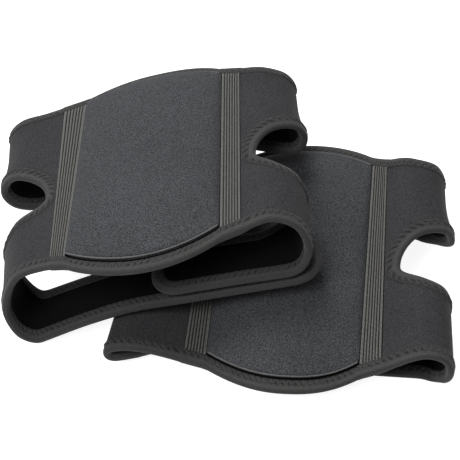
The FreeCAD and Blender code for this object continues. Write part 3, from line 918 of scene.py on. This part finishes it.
def stitches(name, pad, places, way, at, bump, pucker, material):
    """Zigzag thread on both faces of a binding, dipping into the tape at each corner."""
    corner = np.arange(STITCH_PITCH / 2, at[-1] - STITCH_PITCH / 4, STITCH_PITCH / 2)
    share = np.linspace(0, 1, 5)[None, :]
    station = corner[:-1, None] + (corner[1:] - corner[:-1])[:, None] * share
    swing = np.where(np.arange(len(corner)) % 2 == 0, STITCH_NEAR, STITCH_FAR)
    depth = swing[:-1, None] + (swing[1:] - swing[:-1])[:, None] * share
    sink = 0.00042 * (1 - np.sin(math.pi * share) ** 0.5)
    points, faces = [], []
    u = np.interp(station, at, places[:, 0]) + np.interp(station, at, way[:, 0]) * depth
    y = np.interp(station, at, places[:, 1]) + np.interp(station, at, way[:, 1]) * depth
    raised = tape_height(depth) + 0.0001 + np.interp(station, at, bump) - 0.35 * pucker
    for face in (1, -1):
        heights = face * (raised - sink)
        path = pad.lift(u, y, heights)
        up = pad.normal(u, y) * face
        for stitch_path, stitch_up in zip(path, up):
            loops = tube(stitch_path, stitch_up, THREAD_WIDTH, THREAD_HEIGHT, THREAD_SIDES)
            faces += thread_faces(len(stitch_path), THREAD_SIDES, len(points))
            points.extend(loops.reshape(-1, 3))
    return new_object(name, np.array(points), faces, material)


def thread_faces(count, size, first):
    """Faces of one stitch: the skin round it and its two ends."""
    faces = loft_faces(count, size, True, first)[: (count - 1) * size]
    faces.append(tuple(range(first, first + size)))
    faces.append(tuple(range(first + (count - 1) * size, first + count * size)))
    return faces


# ---- hook and loop patches ----
def patch(pad, side, end, length, low, high, material, thread, name):
    """Sewn patch near a strap's tip, with its border stitches."""
    outer, inner, _ = strap_outline(pad, side, end, PATCH_MARGIN, length, PATCH_RADIUS)
    share = np.linspace(0, 1, 15)[None, :, None]
    places = outer[:, None] * (1 - share) + inner[:, None] * share
    made = slab(name, pad, places[..., 0], places[..., 1], low, high, material)
    face = low if abs(low) > abs(high) else high
    inset = 0.0016
    outer, inner, _ = strap_outline(pad, side, end, PATCH_MARGIN + inset, length - inset, PATCH_RADIUS)
    rim = np.vstack([outer, inner[::-1], outer[:1]])
    rim, _ = resample(rim, 0.0015)
    height = np.full(len(rim), face + math.copysign(0.00015, face))
    path = pad.lift(rim[:, 0], rim[:, 1], height)
    loops = tube(path, pad.normal(rim[:, 0], rim[:, 1]), 0.0007, 0.0006)
    return made, loft(f"{name}_stitches", loops, thread)


def tufts(pad, end, low, material, name):
    """The hook face's rows of small stiff hooks."""
    outer, inner, _ = strap_outline(pad, "long", end, PATCH_MARGIN + 0.003, HOOK_LENGTH - 0.003, 0.009)
    middle = (outer[:, 1] + inner[:, 1]) / 2
    half = np.abs(outer[:, 1] - inner[:, 1]) / 2
    points, faces = [], []
    pitch, half_base = 0.0016, 0.00042
    along = np.abs(outer[:, 0])
    for row, u in enumerate(np.arange(along[0], along[-1], pitch)):
        centre, reach = np.interp(u, along, middle), np.interp(u, along, half)
        columns = np.arange(-reach, reach, pitch) + (row % 2) * pitch / 2
        for y in centre + columns:
            spread_u = u + np.array([-1, 1, 1, -1, 0]) * half_base
            spread_y = y + np.array([-1, -1, 1, 1, 0]) * half_base
            rise = low + np.array([0.0001, 0.0001, 0.0001, 0.0001, -0.0007])
            first = len(points)
            points.extend(pad.lift(spread_u, spread_y, rise))
            faces += [(first + k, first + (k + 1) % 4, first + 4) for k in range(4)]
            faces.append((first, first + 3, first + 2, first + 1))
    return new_object(name, np.array(points), faces, material)


# ---- one pad ----
def hold(piece, body, slot_name, *nodes):
    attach(piece, body)
    if nodes:
        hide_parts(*nodes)


def bend(piece, bodies, span, slot_name, *nodes):
    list(bodies)
    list(span)
    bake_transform(piece)
    if nodes:
        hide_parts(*nodes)


def peel_span(pad):
    """From the short straps' hinge line to where they reach the long straps."""
    near, far = (pad.at(pad.hinge["short"], y) for y in (0.0, PAD_LENGTH))
    drop = np.array([0.0, (far[2] - near[2]) / (far[1] - near[1]), -1.0])
    drop /= np.linalg.norm(drop)
    return tuple(near), tuple(near + drop * 0.014)


def dress(name, data, materials):
    """Every visible piece of one pad."""
    pad = Pad(name, data)
    panel, long_straps = f"{name}_panel", f"{name}_long_straps"
    turning, turn = (panel, long_straps), data["turn"]
    tape_material, thread = materials["binding_tape"], materials["thread"]

    made = cushion(pad, materials["cushion_fabric"])
    hold(made, panel, "cushion_fabric", f"{name}_cover", f"{name}_foam")
    for piece in cover_edges(pad, materials["cut_edge"]):
        hold(piece, panel, "cushion_fabric")
    hold(liner(pad, materials["lining"]), panel, "lining", f"{name}_liner")

    for side in ("long", "short"):
        for piece, nodes in webbing(pad, side, materials["elastic_webbing"], materials["selvage"]):
            hold(piece, panel, "elastic_webbing", *nodes)
        piece = wing(pad, side, materials["wing_neoprene"])
        node = f"{name}_{side}_side_wing"
        angles = np.linspace(-90, 90, 61)
        _, near_half, far_half = data["notch"]
        halves = np.where(angles > 0, far_half, near_half)
        rim = [notch_place(pad, side, abs(a), math.copysign(h, a)) for a, h in zip(angles, halves)]
        length = abs(pad.hinge[side]) - NOTCH_APEX
        turns = np.radians(angles)
        sign = 1 if side == "long" else -1
        ways = np.stack([-sign * halves * np.cos(turns), length * np.sin(turns)], -1)
        ways /= np.linalg.norm(ways, axis=1, keepdims=True)
        notch_node = f"{name}_{side}_side_notch_binding"
        notch = folded(
            f"{notch_node}_tape", pad, np.array(rim), ways, tape_material, thread, NOTCH_PUCKER
        )
        if side == "long":
            bend(piece, turning, turn, "wing_neoprene", node)
            bend(notch[0], turning, turn, "binding_tape", notch_node)
            bend(notch[1], turning, turn, "binding_tape")
        else:
            hold(piece, panel, "wing_neoprene", node)
            hold(notch[0], panel, "binding_tape", notch_node)
            hold(notch[1], panel, "binding_tape")

    for end in ("near", "far"):
        part = part_of(pad, end)
        node = f"{name}_{part}_edge_binding"
        inward = 1 if end == "near" else -1
        spans = (
            ("short_wing", pad.hinge["short"], -SEAM - 0.012, False),
            ("panel", -SEAM - 0.012, SEAM + 0.012, True),
            ("long_wing", SEAM + 0.012, pad.hinge["long"], False),
        )
        for label, start, stop, over in spans:
            u = spaced(start, stop, 0.003)
            places = np.stack([u, pad.edge(end, u)], -1)
            ways = np.repeat([[0.0, float(inward)]], len(u), axis=0)
            pair = folded(
                f"{node}_{label}_tape", pad, places, ways, tape_material, thread, over_webbing=over
            )
            for piece in pair:
                nodes = (node,) if piece is pair[0] else ()
                if label == "long_wing":
                    bend(piece, turning, turn, "binding_tape", *nodes)
                else:
                    hold(piece, panel, "binding_tape", *nodes)

    peeling = dict(data["peel"])
    for end in ("near", "far"):
        part = part_of(pad, end)
        for side in ("long", "short"):
            node = f"{name}_{part}_{side}_strap"
            places, ways = strap_rim(pad, side, end)
            cloth = strap(pad, side, end, materials["strap_neoprene"])
            pair = folded(f"{node}_binding_tape", pad, places, ways, tape_material, thread)
            if side == "long":
                low = -SKIN - HOOK
                face = patch(
                    pad, side, end, HOOK_LENGTH, low, -SKIN, materials["hook_tape"], thread,
                    f"{name}_{part}_hook_face",
                )
                hooks = tufts(pad, end, low, materials["hook_tape"], f"{name}_{part}_hooks")
                patch_node, patch_slot = f"{name}_{part}_hook_patch", "hook_tape"
                faces = (*face, hooks)
                body = long_straps
            else:
                face = patch(
                    pad, side, end, LOOP_LENGTH, SKIN, SKIN + HOOK, materials["loop_tape"], thread,
                    f"{name}_{part}_loop_face",
                )
                patch_node, patch_slot = f"{name}_{part}_loop_patch", "loop_tape"
                faces = face
                body = peeling.get(part, panel)
            if side == "long" or body == panel:
                hold(cloth, body, "strap_neoprene", node)
                hold(pair[0], body, "binding_tape", f"{node}_binding")
                hold(pair[1], body, "binding_tape")
            else:
                span = peel_span(pad)
                bend(cloth, (panel, body), span, "strap_neoprene", node)
                bend(pair[0], (panel, body), span, "binding_tape", f"{node}_binding")
                bend(pair[1], (panel, body), span, "binding_tape")
            for piece in faces:
                nodes = (patch_node,) if piece is faces[0] else ()
                hold(piece, body, patch_slot, *nodes)


# ---- stage ----
def area_light(name, place, target, size, power):
    light = bpy.data.lights.new(name, "AREA")
    light.shape = "SQUARE"
    light.size = size
    light.energy = power
    made = bpy.data.objects.new(name, light)
    made.location = place
    way = np.array(target) - np.array(place)
    made.rotation_euler = (math.atan2(math.hypot(way[0], way[1]), -way[2]), 0, math.atan2(-way[0], way[1]))
    bpy.context.scene.collection.objects.link(made)
    return made


def stage():
    """Pale floor, soft light from above and behind, and the camera."""
    mesh = bpy.data.meshes.new("floor")
    reach, depth = 6.0, -0.0005
    signs = ((-1, -1), (1, -1), (1, 1), (-1, 1))
    mesh.from_pydata([(x * reach, y * reach, depth) for x, y in signs], [], [(0, 1, 2, 3)])
    shader = Shader("pale_floor", 0.9)
    shade = shader.noise(3.0)
    base = shader.ramp(shade, [(0.3, colour(0.54)), (0.7, colour(0.56))])
    shader.surface.inputs["Emission Color"].default_value = (1.0, 1.0, 1.0, 1.0)
    shader.surface.inputs["Emission Strength"].default_value = 0.88
    mesh.materials.append(shader.finish(base))
    floor = bpy.data.objects.new("floor", mesh)
    bpy.context.scene.collection.objects.link(floor)
    floor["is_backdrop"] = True

    world = bpy.data.worlds.new("studio")
    world.use_nodes = True
    background = world.node_tree.nodes["Background"]
    background.inputs["Color"].default_value = (1.0, 1.0, 1.0, 1.0)
    background.inputs["Strength"].default_value = 0.3
    bpy.context.scene.world = world
    area_light("key", (-0.4, 0.8, 1.75), (0, 0, 0), 0.8, 32.0)
    area_light("fill", (-0.7, -0.9, 1.6), (0, 0, 0), 1.0, 27.0)

    camera = bpy.data.cameras.new("camera")
    camera.lens = 127.2
    camera.sensor_width = 36.0
    made = bpy.data.objects.new("camera", camera)
    distance, elevation = 1.3, math.radians(47)
    target = (0.005, 0.031, 0.0037)
    made.location = (
        target[0],
        target[1] - distance * math.cos(elevation),
        target[2] + distance * math.sin(elevation),
    )
    made.rotation_euler = (math.pi / 2 - elevation, 0, 0)
    bpy.context.scene.collection.objects.link(made)
    bpy.context.scene.camera = made


def corners(bounds):
    return [list(map(float, corner)) for corner in bounds]


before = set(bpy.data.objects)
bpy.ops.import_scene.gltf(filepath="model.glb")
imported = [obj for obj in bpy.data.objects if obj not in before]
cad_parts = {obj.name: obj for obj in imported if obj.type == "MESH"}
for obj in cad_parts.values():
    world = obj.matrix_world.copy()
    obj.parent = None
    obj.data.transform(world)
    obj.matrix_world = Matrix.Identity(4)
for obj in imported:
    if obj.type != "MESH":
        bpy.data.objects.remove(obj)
cad_box = corners(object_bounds())
stage()
bpy.context.scene.view_settings.view_transform = "Standard"
surfaces = make_materials()
for pad_name, pad_data in PADS.items():
    dress(pad_name, pad_data, surfaces)

{"cad": cad_box, "visual": corners(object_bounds())}
